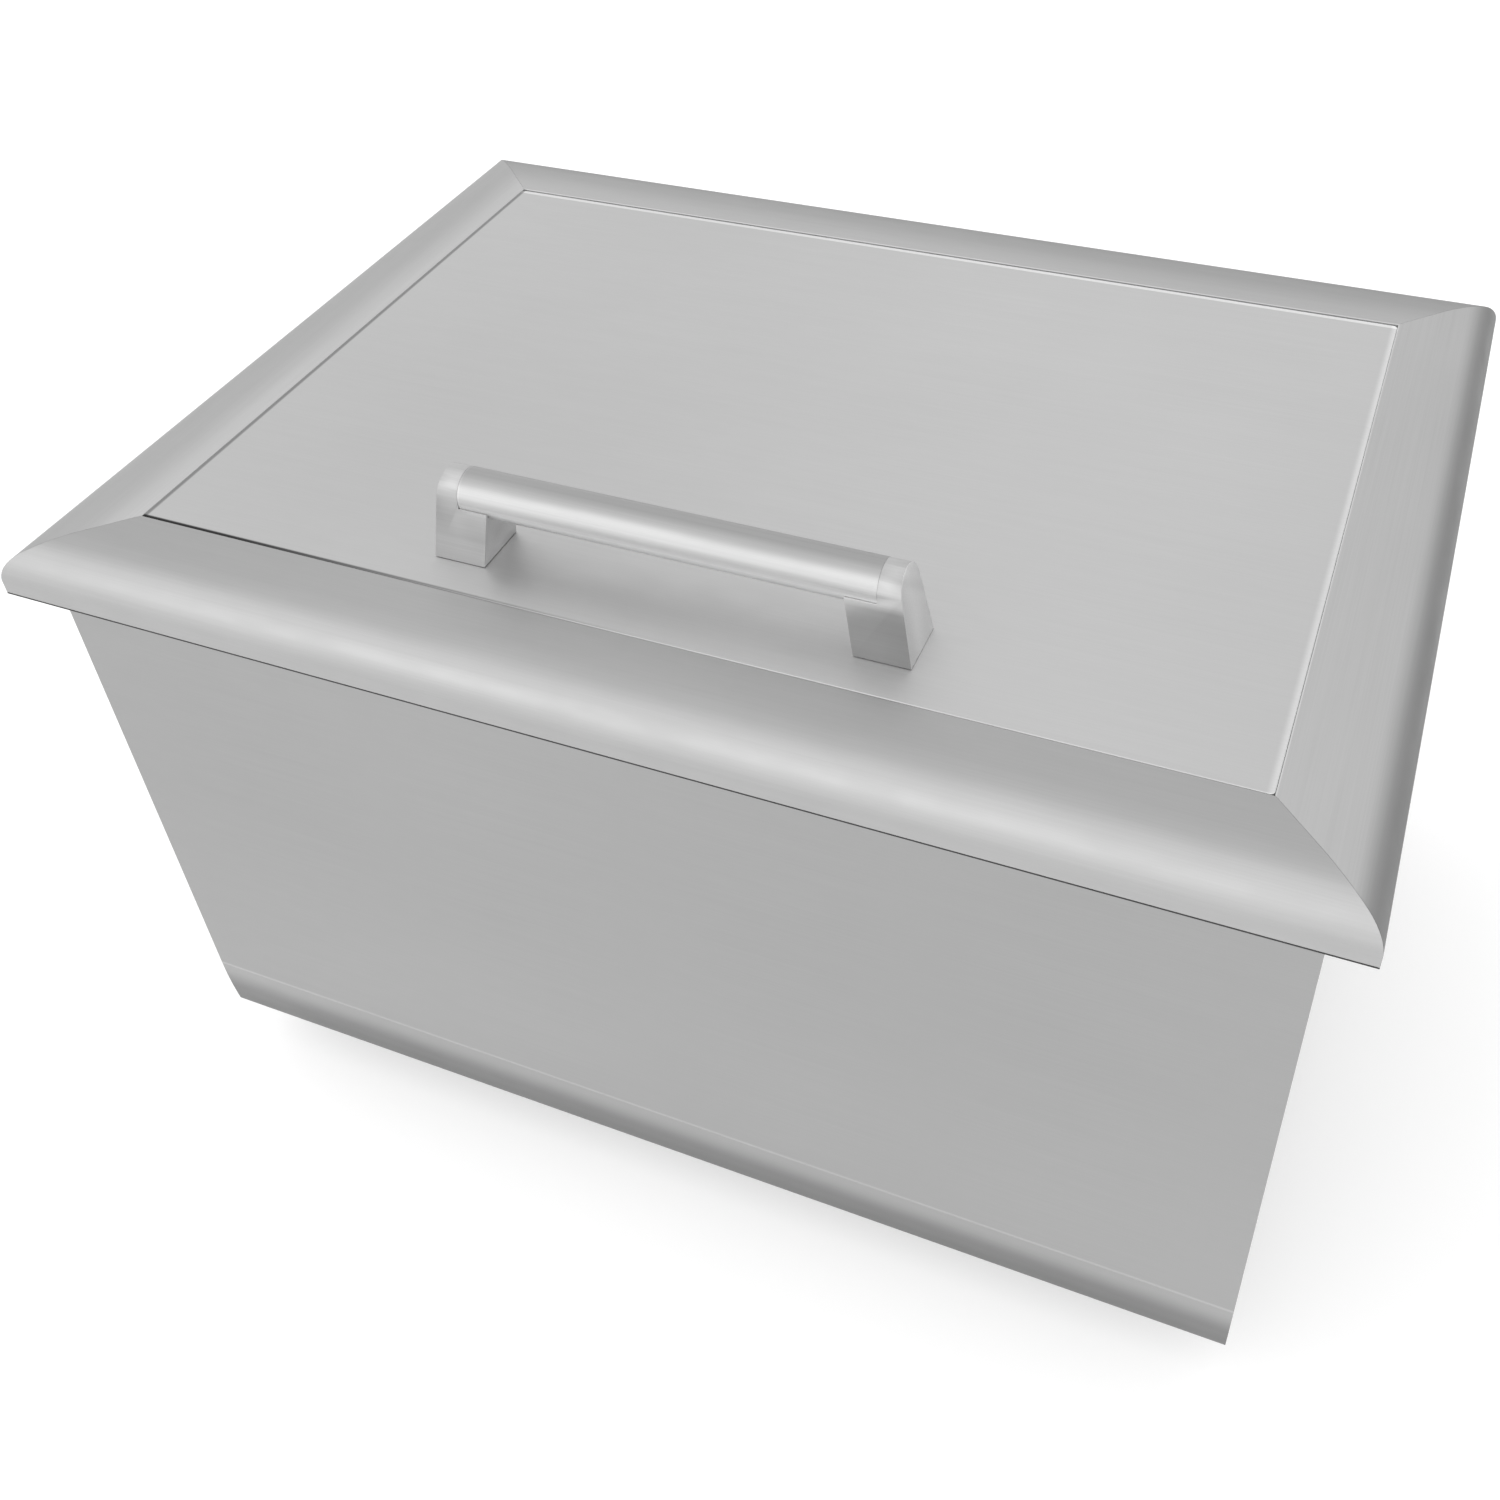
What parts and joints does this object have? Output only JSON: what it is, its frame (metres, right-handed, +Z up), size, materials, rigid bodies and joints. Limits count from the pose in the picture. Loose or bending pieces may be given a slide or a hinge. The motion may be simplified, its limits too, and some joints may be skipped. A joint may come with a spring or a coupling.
{
  "type": "drop in ice bin",
  "caption": "Insulated stainless steel ice bin that hangs in a worktop cut-out by its wide bevelled frame, with a hinged lid, bar handle, inner tub and bottom drain.",
  "frame": {"origin": "middle of the worktop cut-out, level with the worktop's surface, where the frame's gaskets rest", "axes": "+X to the right along the long side, +Y to the back where the lid's hinge is, +Z up"},
  "size_m": [0.572, 0.418, 0.3902],
  "materials": {
    "rail": "satin",
    "shell": "satin",
    "tub": "satin",
    "lid": "satin",
    "handle": "satin",
    "screw": "satin",
    "cleat": "matte",
    "foam": "matte",
    "seal": "matte",
    "nylon": "matte",
    "drain": "satin",
    "stopper": "matte"
  },
  "bodies": {
    "bin": {"rail_front": "rail", "rail_back": "rail", "rail_left": "rail", "rail_right": "rail", "rim_gasket_front": "seal", "rim_gasket_back": "seal", "rim_gasket_left": "seal", "rim_gasket_right": "seal", "corner_cleat_front_left": "cleat", "corner_cleat_front_right": "cleat", "corner_cleat_back_left": "cleat", "corner_cleat_back_right": "cleat", "shell_wrapper": "shell", "end_panel_left": "shell", "end_panel_right": "shell", "tub_liner": "tub", "foam_front": "foam", "foam_back": "foam", "foam_left": "foam", "foam_right": "foam", "foam_bottom": "foam", "rim_screw_front_left_long": "screw", "rim_screw_front_left_short": "screw", "rim_screw_front_right_long": "screw", "rim_screw_front_right_short": "screw", "rim_screw_back_left_long": "screw", "rim_screw_back_left_short": "screw", "rim_screw_back_right_long": "screw", "rim_screw_back_right_short": "screw", "hinge_bush_left": "nylon", "hinge_bush_right": "nylon", "drain_fitting": "drain", "drain_washer": "seal", "drain_nut": "drain", "drain_strainer": "screw"},
    "lid": {"lid_top_pan": "lid", "lid_inner_pan": "tub", "lid_foam": "foam", "lid_gasket": "seal", "hinge_block_left": "nylon", "hinge_block_right": "nylon", "hinge_pin_left": "screw", "hinge_pin_right": "screw", "handle_tube": "handle", "handle_post_left": "handle", "handle_post_right": "handle", "handle_screw_left": "screw", "handle_screw_right": "screw", "handle_washer_left": "screw", "handle_washer_right": "screw"},
    "plug": {"plug_stopper": "stopper", "plug_knob": "screw"}
  },
  "joints": [
    {"name": "lid_hinge", "type": "hinge", "parent": "bin", "child": "lid", "pos_m": [0, 0.154, 0.0165], "axis": [-1, 0, 0], "range_deg": [0, 130]},
    {"name": "plug_lift", "type": "slide", "parent": "bin", "child": "plug", "axis": [0, 0, 1], "range_m": [0, 0.08]}
  ]
}
